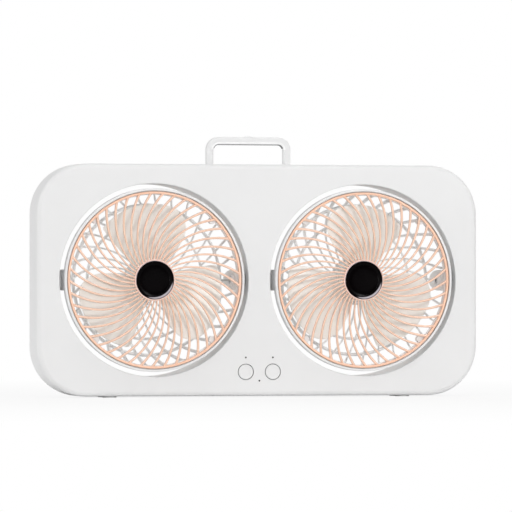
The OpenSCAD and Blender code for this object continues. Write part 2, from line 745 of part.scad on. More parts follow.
// Motor
module motor_can() color(steel) difference() {
    union() {
        between(can_back, can_front) circle(can_r);
        between(can_front - 1, can_front + 1.2) circle(bearing_r + 1.2);
    }
    between(can_back + can_wall, can_front - can_wall) difference() {
        circle(can_r - can_wall);
        circle(bearing_r + 1);
    }
    between(can_back + bearing_l + 0.4, can_front - bearing_l + 1) circle(can_r - can_wall - 2);
    between(can_back + 0.4, far) circle(bearing_r);
}
module motor_bearings() color(brass) difference() {
    union() {
        between(can_back + 0.4, can_back + 0.4 + bearing_l) circle(bearing_r);
        between(can_front + 1.2 - bearing_l, can_front + 1.2) circle(bearing_r);
    }
    between(-far, far) circle(shaft_r + run);
}
module magnets() color("dimgray") between(can_back + can_wall, can_front - can_wall)
    difference() {
        annulus(can_r - can_wall, can_r - can_wall - 2);
        for (a = [0, 90]) rotate(a) square([far, 1.5], center = true);
    }
module motor_cover() color(white) difference() {
    union() {
        between(can_front, cover_front) circle(cup_r);
        cover_ears() between(can_front, cover_front) circle(ear_r);
    }
    between(-far, far) circle(bearing_r + 1.2 + slip);
    cover_ears() between(-far, far) circle(small_screw_r + slip);
}
module cover_screws() color(steel) cover_ears() {
    between(can_front - 5, cover_front) circle(small_screw_r);
    between(cover_front, cover_front + 1) circle(small_head_r);
}
// Lead from the motor, inside the guard, into the hollow pin next to the middle of the body
module motor_lead() color(black) lead([
    [can_r + 0.1, 0, lead_exit], [cup_r + 2, 0, lead_exit], [cup_r + 8, 0, lead_back],
    [guard_mid_r + 2, 0, lead_back], [guard_mid_r + 16, 0, lead_back + 4.3], [pin_in - 6, 0, lead_back + 9.8],
    [pin_in - 3.5, 0, lead_back + 13.4], [pin_in - 0.2, 0, 0], [pin_out, 0, 0]], lead_r, [0, 1, 0]);

// Fan
// Outer radius of a blade at v, from 0 at its square corner to 1 at its rounded edge
function blade_edge(v) =
    let (round_from = 0.6, inner = hub_r + blade_inner, s = 0.03)
    v > round_from
        ? inner + (tip_r - inner) * sqrt(1 - pow((v - round_from) / (1 - round_from), 3))
        : corner_tip_r + (tip_r - corner_tip_r) * sin(90 * v / round_from)
            - (v < s ? corner_round * (1 - sqrt(1 - pow(1 - v / s, 2))) : 0);
// Share of the way out from the hub, and the depth and place of the blade's middle surface
function blade_out(r) = (r - hub_r) / (tip_r - hub_r);
function blade_depth(r) = blade_d_root + (blade_d_tip - blade_d_root) * blade_out(r);
function blade_place(r, v) =
    let (a = blade_start + blade_span * v - 5 * (1 - blade_out(r)) * (1 - v))
    [r * sin(a), r * cos(a), fan_mid + blade_depth(r) * (0.8 * v + 0.2 * v * v - 0.5)];
function blade_thick(v) = blade_t * (0.35 + 0.65 * sqrt(max(0, 1 - pow(2 * v - 1, 4))));

module blade() {
    rows = 8;
    vs = [0, 0.012, 0.03, 0.1, 0.2, 0.32, 0.44, 0.56, 0.67, 0.76, 0.84, 0.9, 0.95, 0.985, 1];
    cols = len(vs);
    root = hub_r - 1;
    grid = [for (v = vs, i = [0 : rows]) blade_place(root + (blade_edge(v) - root) * i / rows, v)];
    thick = [for (v = vs, i = [0 : rows]) blade_thick(v) * (1 - 0.3 * i / rows)];
    n = len(grid);
    points = concat(
        [for (i = [0 : n - 1]) grid[i] + [0, 0, thick[i] / 2]],
        [for (i = [0 : n - 1]) grid[i] - [0, 0, thick[i] / 2]]);
    function at(c, r) = c * (rows + 1) + r;
    cells = [for (c = [0 : cols - 2], r = [0 : rows - 1])
        [at(c, r), at(c, r + 1), at(c + 1, r + 1), at(c + 1, r)]];
    rim_path = concat(
        [for (r = [0 : rows - 1]) at(0, r)], [for (c = [0 : cols - 2]) at(c, rows)],
        [for (r = [rows : -1 : 1]) at(cols - 1, r)], [for (c = [cols - 1 : -1 : 1]) at(c, 0)]);
    m = len(rim_path);
    faces = concat(
        [for (q = cells, t = [[q[0], q[1], q[2]], [q[0], q[2], q[3]]]) t],
        [for (q = cells, t = [[q[2], q[1], q[0]], [q[3], q[2], q[0]]]) [for (i = t) i + n]],
        [for (i = [0 : m - 1], a = [rim_path[i]], b = [rim_path[(i + 1) % m]],
              t = [[a, b + n, b], [a, a + n, b + n]]) t]);
    polyhedron(points, faces);
}

module fan() color(white) difference() {
    union() {
        turned() difference() {
            translate([0, hub_back]) square([hub_r, hub_front - hub_back]);
            translate([hub_r - 3, hub_front - 3]) difference() { square(4); circle(3); }
            translate([0, hub_back - 1]) square([hub_r - hub_wall, hub_front - hub_wall - hub_back + 1]);
        }
        between(hub_back + 1, hub_front - 1) {
            circle(shaft_r + 3);
            for (a = [0 : 60 : 300]) rotate(a) translate([0, -0.7]) square([hub_r - 1, 1.4]);
        }
        for (i = [0 : blade_count - 1]) rotate(i * 360 / blade_count) difference() {
            blade();
            translate([0, 0, -far / 2]) cylinder(r = hub_r - hub_wall / 2, h = far);
        }
    }
    between(-far, far) circle(shaft_r + slip / 10);
}
module shaft() color(steel) between(shaft_back, shaft_front) circle(shaft_r);
module armature() color(brass) difference() {
    between(can_back + bearing_l + 1, can_front - bearing_l + 0.5)
        difference() {
            circle(can_r - can_wall - 2.8);
            for (a = [0 : 60 : 300]) rotate(a) translate([can_r - can_wall - 6, -0.8]) square([far, 1.6]);
        }
    between(-far, far) circle(shaft_r + slip / 10);
}
module fan_nut() color(brass) difference() {
    between(hub_front, hub_front + 2.4) circle(3.2, $fn = 6);
    between(-far, far) circle(shaft_r + slip / 10);
}

front_shell();
rear_shell();
shell_screws();
rubber_feet();
tilt_bushes();
handle();
handle_guides();
handle_pads();
left_button();
right_button();
left_plunger();
right_plunger();
switches();
control_board();
board_screws();
light_pipes();
battery_cells();
battery_cradle();
battery_contacts();
charge_socket();
charge_board();
wiring();
left() rim();  // left_rim
left() front_grille();  // left_front_grille
left() hub_cap();  // left_hub_cap
left() rear_guard();  // left_rear_guard
left() guard_screws();  // left_guard_screws
left() tilt_pins();  // left_tilt_pins
left() friction_washers();  // left_friction_washers
left() motor_can();  // left_motor_can
left() motor_bearings();  // left_motor_bearings
left() magnets();  // left_magnets
left() motor_cover();  // left_motor_cover
left() cover_screws();  // left_cover_screws
left() motor_lead();  // left_motor_lead
left() fan();  // left_fan
left() shaft();  // left_shaft
left() armature();  // left_armature
left() fan_nut();  // left_fan_nut
right() rim();  // right_rim
right() front_grille();  // right_front_grille
right() hub_cap();  // right_hub_cap
right() rear_guard();  // right_rear_guard
right() guard_screws();  // right_guard_screws
right() tilt_pins();  // right_tilt_pins
right() friction_washers();  // right_friction_washers
right() motor_can();  // right_motor_can
right() motor_bearings();  // right_motor_bearings
right() magnets();  // right_magnets
right() motor_cover();  // right_motor_cover
right() cover_screws();  // right_cover_screws
right() motor_lead();  // right_motor_lead
right() fan();  // right_fan
right() shaft();  // right_shaft
right() armature();  // right_armature
right() fan_nut();  // right_fan_nut
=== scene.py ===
"""Looks of the dual-head desk fan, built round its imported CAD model. Blender 4.5, metres."""

import json
import math

import bmesh
import bpy
from mathutils import Matrix, Vector


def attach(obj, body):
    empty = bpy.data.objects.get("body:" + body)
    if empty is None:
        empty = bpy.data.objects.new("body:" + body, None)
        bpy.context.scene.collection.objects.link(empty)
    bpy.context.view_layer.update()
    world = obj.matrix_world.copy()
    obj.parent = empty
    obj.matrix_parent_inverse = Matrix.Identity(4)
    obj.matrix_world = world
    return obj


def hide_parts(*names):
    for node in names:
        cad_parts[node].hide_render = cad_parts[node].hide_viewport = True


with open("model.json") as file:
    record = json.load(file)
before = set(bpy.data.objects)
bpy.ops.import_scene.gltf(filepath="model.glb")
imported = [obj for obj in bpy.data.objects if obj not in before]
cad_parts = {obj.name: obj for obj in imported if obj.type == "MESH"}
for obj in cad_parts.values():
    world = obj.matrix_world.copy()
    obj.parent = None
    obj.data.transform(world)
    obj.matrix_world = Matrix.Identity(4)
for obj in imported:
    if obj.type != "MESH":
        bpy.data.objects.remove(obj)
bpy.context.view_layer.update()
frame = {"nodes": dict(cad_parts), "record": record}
scene = bpy.context.scene
nodes = frame["nodes"]

MM = 0.001
# Height of the tilt axis, and the distance from the middle of the body to the middle of a head
AXIS_Z = 0.101
HEAD_X = 0.0926

# ---------------------------------------------------------------- camera and light

CAMERA_YAW = math.radians(-13.15)
CAMERA_TARGET = Vector((-0.0030, -0.020, 0.1218))
CAMERA_AWAY = 4.262
CAMERA_Z = 0.090
SENSOR_WIDTH, LENS = 36, 347.0

WORLD_LIGHT, WORLD_SEEN = 0.37, 1.0

FLOOR_HALF = 12.0
FLOOR_GREY = 0.85
# To the camera the floor is plain white from FADE_END outwards, and white by the share FADE_NEAR
# within FADE_START
FADE_START, FADE_END, FADE_NEAR = 0.15, 0.9, 0.82

# Name, place, what it aims at, size and watts
MIDDLE = (0, 0, 0.1)
LIGHTS = (
    ("key", (0.95, -2.5, 0.97), MIDDLE, (0.12, 0.12), 17),
    ("left", (-1.1, -2.4, 0.6), MIDDLE, (0.9, 0.9), 5.5),
    ("fill", (2.2, -2.0, 1.2), MIDDLE, (1.6, 1.6), 1),
    ("low", (0.2, -3.0, 0.14), (0, 0, 0.05), (1.6, 0.2), 10.5),
    ("side", (-2.6, -0.2, 0.5), MIDDLE, (1.2, 1.2), 8.5),
    ("side_back", (-2.4, 1.0, 0.4), MIDDLE, (1.0, 0.6), 12),
    ("top", (0, -0.6, 2.3), MIDDLE, (2.0, 1.4), 15),
    ("back", (0.9, 2.1, 1.5), MIDDLE, (1.8, 1.2), 19),
)


def make_camera():
    data = bpy.data.cameras.new("camera")
    cam = bpy.data.objects.new("camera", data)
    scene.collection.objects.link(cam)
    back = Vector((math.sin(CAMERA_YAW), -math.cos(CAMERA_YAW), 0.0))
    cam.location = CAMERA_TARGET + back * CAMERA_AWAY
    cam.location.z = CAMERA_Z
    cam.rotation_mode = "QUATERNION"
    cam.rotation_quaternion = (CAMERA_TARGET - cam.location).to_track_quat("-Z", "Y")
    data.sensor_width = SENSOR_WIDTH
    data.lens = LENS
    data.clip_start, data.clip_end = 0.1, 100
    scene.camera = cam


def area_light(name, place, aim, size, power):
    data = bpy.data.lights.new(name, "AREA")
    data.shape = "RECTANGLE"
    data.size, data.size_y = size
    data.energy = power
    lamp = bpy.data.objects.new(name, data)
    lamp.location = place
    lamp.rotation_mode = "QUATERNION"
    lamp.rotation_quaternion = (Vector(aim) - Vector(place)).to_track_quat("-Z", "Y")
    scene.collection.objects.link(lamp)


def seen_directly(tree):
    """1 for camera and transmission rays, 0 for the rays that light the object."""
    path = tree.nodes.new("ShaderNodeLightPath")
    both = tree.nodes.new("ShaderNodeMath")
    both.operation = "MAXIMUM"
    tree.links.new(path.outputs["Is Camera Ray"], both.inputs[0])
    tree.links.new(path.outputs["Is Transmission Ray"], both.inputs[1])
    return both.outputs[0]


def make_world():
    """Plain white where it is seen, and a weaker white as light."""
    world = bpy.data.worlds.new("studio")
    scene.world = world
    world.use_nodes = True
    tree = world.node_tree
    tree.nodes.clear()
    out = tree.nodes.new("ShaderNodeOutputWorld")
    mix = tree.nodes.new("ShaderNodeMixShader")
    tree.links.new(seen_directly(tree), mix.inputs[0])
    for slot, strength in ((1, WORLD_LIGHT), (2, WORLD_SEEN)):
        white = tree.nodes.new("ShaderNodeBackground")
        white.inputs["Color"].default_value = (1, 1, 1, 1)
        white.inputs["Strength"].default_value = strength
        tree.links.new(white.outputs[0], mix.inputs[slot])
    tree.links.new(mix.outputs[0], out.inputs[0])


def make_floor():
    """A pale floor that keeps the object's shadow nearby and fades to plain white further out."""
    mesh = bpy.data.meshes.new("floor")
    s = FLOOR_HALF
    mesh.from_pydata([(-s, -s, 0), (s, -s, 0), (s, s, 0), (-s, s, 0)], [], [(0, 1, 2, 3)])
    floor = bpy.data.objects.new("floor", mesh)
    scene.collection.objects.link(floor)
    mat = bpy.data.materials.new("floor")
    mat.use_nodes = True
    tree = mat.node_tree
    tree.nodes.clear()
    out = tree.nodes.new("ShaderNodeOutputMaterial")
    lit = tree.nodes.new("ShaderNodeBsdfDiffuse")
    lit.inputs["Color"].default_value = (FLOOR_GREY, FLOOR_GREY, FLOOR_GREY, 1)
    glow = tree.nodes.new("ShaderNodeEmission")
    glow.inputs["Color"].default_value = (1, 1, 1, 1)
    glow.inputs["Strength"].default_value = 1.0
    where = tree.nodes.new("ShaderNodeNewGeometry")
    length = tree.nodes.new("ShaderNodeVectorMath")
    length.operation = "LENGTH"
    fade = tree.nodes.new("ShaderNodeMapRange")
    fade.inputs["From Min"].default_value = FADE_START
    fade.inputs["From Max"].default_value = FADE_END
    fade.inputs["To Min"].default_value = FADE_NEAR
    fade.inputs["To Max"].default_value = 1.0
    tree.links.new(where.outputs["Position"], length.inputs[0])
    tree.links.new(length.outputs["Value"], fade.inputs["Value"])
    share = tree.nodes.new("ShaderNodeMath")
    share.operation = "MULTIPLY"
    tree.links.new(fade.outputs["Result"], share.inputs[0])
    tree.links.new(seen_directly(tree), share.inputs[1])
    mix = tree.nodes.new("ShaderNodeMixShader")
    tree.links.new(share.outputs[0], mix.inputs[0])
    tree.links.new(lit.outputs[0], mix.inputs[1])
    tree.links.new(glow.outputs[0], mix.inputs[2])
    tree.links.new(mix.outputs[0], out.inputs[0])
    mesh.materials.append(mat)


make_camera()
make_world()
make_floor()
for light in LIGHTS:
    area_light(*light)
scene.view_settings.view_transform = "Standard"

# ---------------------------------------------------------------- materials

DRIFT_SCALE, DRIFT_DETAIL = 14, 3       # slow change of tone and gloss over a surface
DRIFT_FROM, DRIFT_TO = 0.3, 0.7
GLOSS_SPREAD = 0.05
GRAIN_DETAIL = 2
RELIEF_DEPTH = 0.0002
MARK_SCALE, MARK_STRENGTH = 900, 0.08   # turning and drawing marks on metal


def plastic(name, colour, rough=0.42, grain=0.00035, bump=0.02, specular=0.5, drift=0.03):
    """Moulded plastic: a fine spark-eroded grain, and a slow drift of tone and gloss over the surface."""
    mat = bpy.data.materials.new(name)
    mat.use_nodes = True
    tree = mat.node_tree
    bsdf = tree.nodes["Principled BSDF"]
    bsdf.inputs["Specular IOR Level"].default_value = specular
    place = tree.nodes.new("ShaderNodeTexCoord")
    slow = tree.nodes.new("ShaderNodeTexNoise")
    slow.inputs["Scale"].default_value = DRIFT_SCALE
    slow.inputs["Detail"].default_value = DRIFT_DETAIL
    tree.links.new(place.outputs["Object"], slow.inputs["Vector"])
    tint = tree.nodes.new("ShaderNodeValToRGB")
    low, high = tint.color_ramp.elements
    low.position, high.position = DRIFT_FROM, DRIFT_TO
    low.color = [c * (1 - drift) for c in colour] + [1]
    high.color = list(colour) + [1]
    tree.links.new(slow.outputs["Fac"], tint.inputs["Fac"])
    tree.links.new(tint.outputs["Color"], bsdf.inputs["Base Color"])
    gloss = tree.nodes.new("ShaderNodeMapRange")
    gloss.inputs["To Min"].default_value = rough - GLOSS_SPREAD
    gloss.inputs["To Max"].default_value = rough + GLOSS_SPREAD
    tree.links.new(slow.outputs["Fac"], gloss.inputs["Value"])
    tree.links.new(gloss.outputs["Result"], bsdf.inputs["Roughness"])
    if bump:
        fine = tree.nodes.new("ShaderNodeTexNoise")
        fine.inputs["Scale"].default_value = 1 / grain
        fine.inputs["Detail"].default_value = GRAIN_DETAIL
        tree.links.new(place.outputs["Object"], fine.inputs["Vector"])
        raise_surface(tree, fine, bump)
    return mat


def raise_surface(tree, noise, strength):
    """Lets a noise lift the surface a little."""
    relief = tree.nodes.new("ShaderNodeBump")
    relief.inputs["Strength"].default_value = strength
    relief.inputs["Distance"].default_value = RELIEF_DEPTH
    tree.links.new(noise.outputs["Fac"], relief.inputs["Height"])
    tree.links.new(relief.outputs["Normal"], tree.nodes["Principled BSDF"].inputs["Normal"])


def metal(name, colour, rough=0.3, streak=(1, 1, 1)):
    """Metal with turning or drawing marks along one direction."""
    mat = plastic(name, colour, rough=rough, bump=0, drift=0.12)
    tree = mat.node_tree
    tree.nodes["Principled BSDF"].inputs["Metallic"].default_value = 1.0
    place = tree.nodes.new("ShaderNodeTexCoord")
    stretch = tree.nodes.new("ShaderNodeMapping")
    stretch.inputs["Scale"].default_value = streak
    marks = tree.nodes.new("ShaderNodeTexNoise")
    marks.inputs["Scale"].default_value = MARK_SCALE
    tree.links.new(place.outputs["Object"], stretch.inputs["Vector"])
    tree.links.new(stretch.outputs["Vector"], marks.inputs["Vector"])
    raise_surface(tree, marks, MARK_STRENGTH)
    return mat


def painted_sheen(mat, colour, way, start, end):
    """Paints a highlight into the base colour of what faces one way in the room: the gleam on a dished black
    rim.
    """
    tree = mat.node_tree
    bsdf = tree.nodes["Principled BSDF"]
    under = bsdf.inputs["Base Color"].links[0].from_socket
    facing = tree.nodes.new("ShaderNodeNewGeometry")
    dot = tree.nodes.new("ShaderNodeVectorMath")
    dot.operation = "DOT_PRODUCT"
    dot.inputs[1].default_value = way
    tree.links.new(facing.outputs["Normal"], dot.inputs[0])
    ramp = tree.nodes.new("ShaderNodeMapRange")
    ramp.interpolation_type = "SMOOTHSTEP"
    ramp.inputs["From Min"].default_value = start
    ramp.inputs["From Max"].default_value = end
    tree.links.new(dot.outputs["Value"], ramp.inputs["Value"])
    mix = tree.nodes.new("ShaderNodeMix")
    mix.data_type = "RGBA"
    into = {socket.identifier: socket for socket in mix.inputs}
    out = {socket.identifier: socket for socket in mix.outputs}
    into["B_Color"].default_value = list(colour) + [1]
    tree.links.new(ramp.outputs["Result"], into["Factor_Float"])
    tree.links.new(under, into["A_Color"])
    tree.links.new(out["Result_Color"], bsdf.inputs["Base Color"])
    return mat


def srgb(*levels):
    """sRGB levels from 0 to 255 as linear colour."""
    return [((v / 255 + 0.055) / 1.055) ** 2.4 if v > 10 else v / 255 / 12.92 for v in levels]


# One material for each slot of the record
MATERIALS = {
    "white_plastic": plastic("white_plastic", srgb(236, 236, 236), rough=0.6, specular=0.35),
    "peach_plastic": plastic("peach_plastic", srgb(252, 204, 175), rough=0.3),
    "black_gloss": plastic("black_gloss", srgb(5, 3, 4), rough=0.22, bump=0, specular=0.01),
    "black_plastic": plastic("black_plastic", srgb(38, 38, 38), rough=0.5),
    "grey_plastic": plastic("grey_plastic", srgb(110, 110, 114), rough=0.5),
    "clear_plastic": plastic("clear_plastic", srgb(20, 20, 22), rough=0.4, bump=0, specular=0.05),
    "rubber": plastic("rubber", srgb(204, 204, 202), rough=0.8, grain=0.0008, bump=0.15),
    "felt": plastic("felt", srgb(140, 140, 140), rough=0.95, grain=0.0006, bump=0.4),
    "screw_steel": metal("screw_steel", srgb(200, 202, 205), rough=0.32),
    "pin_steel": metal("pin_steel", srgb(205, 206, 208), rough=0.25, streak=(0.1, 3, 3)),
    "contact_steel": metal("contact_steel", srgb(214, 212, 206), rough=0.2),
    "bush_brass": metal("bush_brass", srgb(218, 184, 122), rough=0.28),
    "core": metal("core", srgb(120, 118, 116), rough=0.45),
    "board": plastic("board", srgb(36, 96, 54), rough=0.35, bump=0.05),
    "cell_wrap": plastic("cell_wrap", srgb(60, 110, 170), rough=0.25, bump=0),
    "lead": plastic("lead", srgb(206, 206, 204), rough=0.45),
}
# Shades of those for the pieces drawn here
# The cap's rim: black, with a painted highlight in light grey on what faces up and to the left
CAP_EDGE_PAINTED_SHEEN = painted_sheen(plastic("cap_edge", srgb(5, 3, 4), rough=0.25, bump=0, specular=0.04),
                 srgb(192, 184, 190), way=(-0.5, 0, 0.866), start=0.24, end=0.34)
PEACH_RIBS = plastic("peach_ribs", srgb(247, 209, 186), rough=0.25, bump=0)
PEACH_HUB = plastic("peach_hub", srgb(244, 208, 195), rough=0.25, bump=0)
# Whiter copy of the white plastic: a painted highlight on the handle's inner bevel
PAINTED_HIGHLIGHT_WHITE = plastic("painted_highlight_white", srgb(254, 254, 254), rough=0.3, bump=0)
# Grey for painted shade: under the handle's bar and in the groove round each push
PAINTED_SHADE_GREY = plastic("painted_shade_grey", srgb(118, 118, 120), rough=0.6)
# Lighter copy of the white plastic for the rear guard: painted light against the shade behind the grille
GUARD_PAINTED_LIGHT = plastic("guard_painted_light", srgb(248, 248, 248), rough=0.6, specular=0.35)
# Glossier, lighter copy of the white plastic for the blades; the lighter tone is painted light against the
# grille's shade
BLADE_WHITE_PAINTED_LIGHT = plastic("blade_white_painted_light", srgb(252, 252, 248), rough=0.35, bump=0)
for part in frame["record"]["subparts"]:
    piece = nodes[part["node"]]
    piece.data.materials.clear()
    piece.data.materials.append(MATERIALS[part["material_slot"]])

# ---------------------------------------------------------------- mesh tools
# Pieces are drawn in millimetres as the viewer sees them: x right, y up from the tilt axis, z towards
# the viewer. Half outlines are lists of (radius, depth).


def in_body(p):
    return (p[0] * MM, -p[2] * MM, AXIS_Z + p[1] * MM)


def in_body_mirrored(p):
    return in_body((-p[0], p[1], p[2]))


def in_left(p):
    return (-HEAD_X + p[0] * MM, -p[2] * MM, AXIS_Z + p[1] * MM)


def in_right(p):
    """The right head is the mirror image of the left one."""
    return (HEAD_X - p[0] * MM, -p[2] * MM, AXIS_Z + p[1] * MM)


def soften(corners, radius, closed=True, steps=4):
    """Rounds the corners of an outline, all of them or all but the two ends."""
    out = []
    n = len(corners)
    for i, c in enumerate(corners):
        if not closed and i in (0, n - 1):
            out.append(c)
            continue
        c = Vector(c)
        u, v = Vector(corners[i - 1]) - c, Vector(corners[(i + 1) % n]) - c
        reach = min(radius, u.length * 0.45, v.length * 0.45)
        a, b = c + u.normalized() * reach, c + v.normalized() * reach
        for k in range(steps + 1):
            t = k / steps
            out.append(tuple(a * (1 - t) ** 2 + c * 2 * t * (1 - t) + b * t ** 2))
    return out


def block(half_u, half_v):
    """The four corners of an upright rectangle round the origin."""
    return [(-half_u, -half_v), (half_u, -half_v), (half_u, half_v), (-half_u, half_v)]


def solid_bar(r, start, end):
    """Half outline of a solid cylinder from depth start to end."""
    return [(0, start), (r, start), (r, end), (0, end)]


def sleeve(bore, r, start, end):
    """Half outline of a tube from depth start to end."""
    return [(bore, start), (r, start), (r, end), (bore, end)]


def clock(r, degrees):
    """A place at radius r, clockwise from the top."""
    a = math.radians(degrees)
    return r * math.sin(a), r * math.cos(a)


def spread(start, end, count):
    return [start + (end - start) * i / (count - 1) for i in range(count)]


class Form:
    """Closed shells gathered into one piece."""

    def __init__(self):
        self.verts, self.faces = [], []

    def add(self, verts, faces):
        base = len(self.verts)
        self.verts += [tuple(v) for v in verts]
        self.faces += [[i + base for i in f] for f in faces]

    def skin(self, rings):
        """A skin over rings of equal count, capped at both ends."""
        n, m = len(rings[0]), len(rings)
        faces = []
        for i in range(m - 1):
            a, b = i * n, (i + 1) * n
            faces += [[a + k, a + (k + 1) % n, b + (k + 1) % n, b + k] for k in range(n)]
        faces += [list(range(n))[::-1], [(m - 1) * n + k for k in range(n)]]
        self.add([p for ring in rings for p in ring], faces)

    def turned(self, profile, steps, centre=(0, 0)):
        """A closed profile of radius and depth, turned round the line through centre."""
        verts, index = [], {}
        for j in range(steps):
            a = 2 * math.pi * j / steps
            for k, (r, z) in enumerate(profile):
                if abs(r) < 1e-6 and j:
                    index[j, k] = index[0, k]
                    continue
                index[j, k] = len(verts)
                verts.append((centre[0] + r * math.cos(a), centre[1] + r * math.sin(a), z))
        faces = []
        n = len(profile)
        for j in range(steps):
            i = (j + 1) % steps
            for k in range(n):
                q = [index[j, k], index[i, k], index[i, (k + 1) % n], index[j, (k + 1) % n]]
                q = [v for t, v in enumerate(q) if v != q[t - 1]]
                if len(q) > 2:
                    faces.append(q)
        self.add(verts, faces)

    def make(self, name, body, slot, place, replaces=(), sharp=40.0, look=None):
        """Makes the piece. place puts its points in the room, and edges over sharp degrees stay crisp."""
        mesh = bpy.data.meshes.new(name)
        mesh.from_pydata([place(p) for p in self.verts], [], self.faces)
        work = bmesh.new()
        work.from_mesh(mesh)
        bmesh.ops.recalc_face_normals(work, faces=work.faces)
        work.to_mesh(mesh)
        work.free()
        mesh.shade_smooth()
        mesh.set_sharp_from_angle(angle=math.radians(sharp))
        piece = bpy.data.objects.new(name, mesh)
        scene.collection.objects.link(piece)
        mesh.materials.append(look or MATERIALS[slot])
        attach(piece, body)
        if replaces:
            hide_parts(*replaces)


def swept(path, across, out, sections):
    """Rings of a section (across, out) carried along a path."""
    rings = []
    for p, a, o, section in zip(path, across, out, sections):
        p, a, o = Vector(p), Vector(a), Vector(o)
        rings.append([tuple(p + a * u + o * v) for u, v in section])
    return rings


# ---------------------------------------------------------------- handle

TOP_Y = 100.0                       # top of the body
HANDLE_OFF, HANDLE_Z = -2.2, -14.5
HANDLE_H, LEG_IN, LEG_X = 24.5, 17.0, 34.0
CORNER_R, BEND_R = 11, 7.5          # outer radius of a corner, and radius of its middle line
BEND_X = LEG_X - BEND_R

# Outlines across the bar: outwards and towards the viewer from its middle
BAR = soften([(3.5, -3), (3.5, 3), (-1.6, 3), (-2.9, 1.8), (-2.9, -3)], 1.2)
# The inner front bevel; its piece is whiter than the bar as a painted highlight
BEVEL = [(-1.1, 3.0), (-1.7, 2.98), (-2.55, 2.55), (-2.85, 2.1), (-2.6, 1.6), (-1.2, 2.4)]
# Grey strip inside the bar, standing in for the shadow on its underside: painted shade
BAR_SHADE_OUTLINE = [(-2.7, -2.2), (-2.7, 1.8), (-3.2, 1.7), (-3.5, 1.3), (-3.5, -1.9), (-3.2, -2.15)]
HEEL = soften(block(4.7, 2.95), 0.5)
HEEL_FROM, HEEL_TO = 0.05, 2.35
# Finger ridge on the bar
RIDGE_HALF, RIDGE_H, RIDGE_FOOT = 3.2, 0.85, -1.0
RIDGE_Z = (-16.4, -12.6)


def handle_path():
    """Places along the middle of the handle, from one foot to the other, with outward ways."""
    high = TOP_Y + HANDLE_H - CORNER_R
    out = [(-LEG_X, TOP_Y - LEG_IN, (-1, 0)), (-LEG_X, high, (-1, 0))]
    for a in spread(0, 90, 13)[1:]:
        c, s = math.cos(math.radians(a)), math.sin(math.radians(a))
        out.append((-BEND_X - BEND_R * c, high + BEND_R * s, (-c, s)))
    return out + [(-x, y, (-o[0], o[1])) for x, y, o in out[::-1]]


def along_handle(outline, skip=0):
    """Rings of an outline along the handle, without the first and last few places."""
    path = handle_path()
    path = path[skip:len(path) - skip]
    places = [(HANDLE_OFF + x, y, HANDLE_Z) for x, y, o in path]
    across = [(o[0], o[1], 0) for x, y, o in path]
    return swept(places, across, [(0, 0, 1)] * len(path), [outline] * len(path))


def handle():
    bar, bevel, bar_shade_strip = Form(), Form(), Form()
    bar.skin(along_handle(BAR))
    for s in (-1, 1):
        x, y = HANDLE_OFF + s * LEG_X, TOP_Y - LEG_IN
        bar.skin([[(x + u, y + h, HANDLE_Z + v) for u, v in HEEL] for h in (HEEL_FROM, HEEL_TO)])
    arc = [(RIDGE_HALF * math.sin(a), RIDGE_H * math.cos(a)) for a in spread(-math.pi / 2, math.pi / 2, 15)]
    arc += [(RIDGE_HALF, RIDGE_FOOT), (-RIDGE_HALF, RIDGE_FOOT)]
    bar.skin([[(HANDLE_OFF + u, TOP_Y + HANDLE_H + h, z) for u, h in arc] for z in RIDGE_Z])
    bar.make("handle_bar", "handle", "white_plastic", in_body, ["handle"])
    # Bevel in the whiter copy: a painted highlight
    bevel.skin(along_handle(BEVEL, 1))
    bevel.make("handle_edge", "handle", "white_plastic", in_body, sharp=60, look=PAINTED_HIGHLIGHT_WHITE)
    # Painted shade: a grey strip only under the bar and round its corners
    bar_shade_strip.skin(along_handle(BAR_SHADE_OUTLINE, 3))
    bar_shade_strip.make("handle_bar_shade", "handle", "white_plastic", in_body, sharp=60, look=PAINTED_SHADE_GREY)


# ---------------------------------------------------------------- buttons

BUTTON_AT = (-12, -79.2)
# Half outline of the push: a flange behind the panel, a soft rim and a shallow dished face
PUSH = [(0, 16.3), (8.2, 16.3), (8.2, 17.7), (6.45, 17.7), (6.45, 19.95), (6.37, 20.2), (6.2, 20.36),
        (5.95, 20.4), (5.7, 20.34), (5.2, 20.2), (3.5, 20.1), (0, 20.05)]
PUSH_STEM = soften(solid_bar(1.9, 13.7, 16.5), 0.2, closed=False)
# A dark grey ring in the groove round the push: painted shade for the groove's shadow
PUSH_GROOVE_SHADE = sleeve(6.47, 6.8, 17.9, 19.2)


def button(side, place):
    push, groove_shading_ring = Form(), Form()
    push.turned(PUSH, 96, BUTTON_AT)
    push.turned(PUSH_STEM, 24, BUTTON_AT)
    push.make(side + "_push", side + "_button", "white_plastic", place, [side + "_button"])
    # The groove's painted shade
    groove_shading_ring.turned(PUSH_GROOVE_SHADE, 96, BUTTON_AT)
    groove_shading_ring.make(side + "_push_groove_shade", side + "_button", "white_plastic", place, look=PAINTED_SHADE_GREY)


# ---------------------------------------------------------------- front grille and hub cap

RIB_COUNT = 45
RIB_START, RIB_TURN = -34.5, 0.565      # degrees at the hub ring, and more of them for each mm outwards
RIB_Z = 21.1
RIB_IN_R, RIB_OUT_R, RIB_PLACES = 17.3, 74.9, 18
RIB_IN_W, RIB_GROWS = 1.2, 0.9
HUB_RING_R = 17.9

GRILLE_RING = soften(sleeve(74.2, 76.2, 19.5, 22.5), 0.55)
GRILLE_HUB = soften([(3, 19.1), (HUB_RING_R, 19.1), (HUB_RING_R, 22.5), (16.65, 22.5), (16.65, 20.5),
                     (3, 20.5)], 0.4)
CAP_DISH = [(0, 20.5), (13.0, 20.5), (13.0, 21.75), (12.2, 21.6), (9, 21.5), (0, 21.45)]
CAP_RIM = [(13.02, 20.5), (16.6, 20.5), (16.6, 22.4), (16.52, 22.7), (16.3, 22.8), (16.05, 22.72),
           (15.6, 22.47), (15.0, 22.2), (14.4, 22.0), (13.7, 21.86), (13.02, 21.76)]


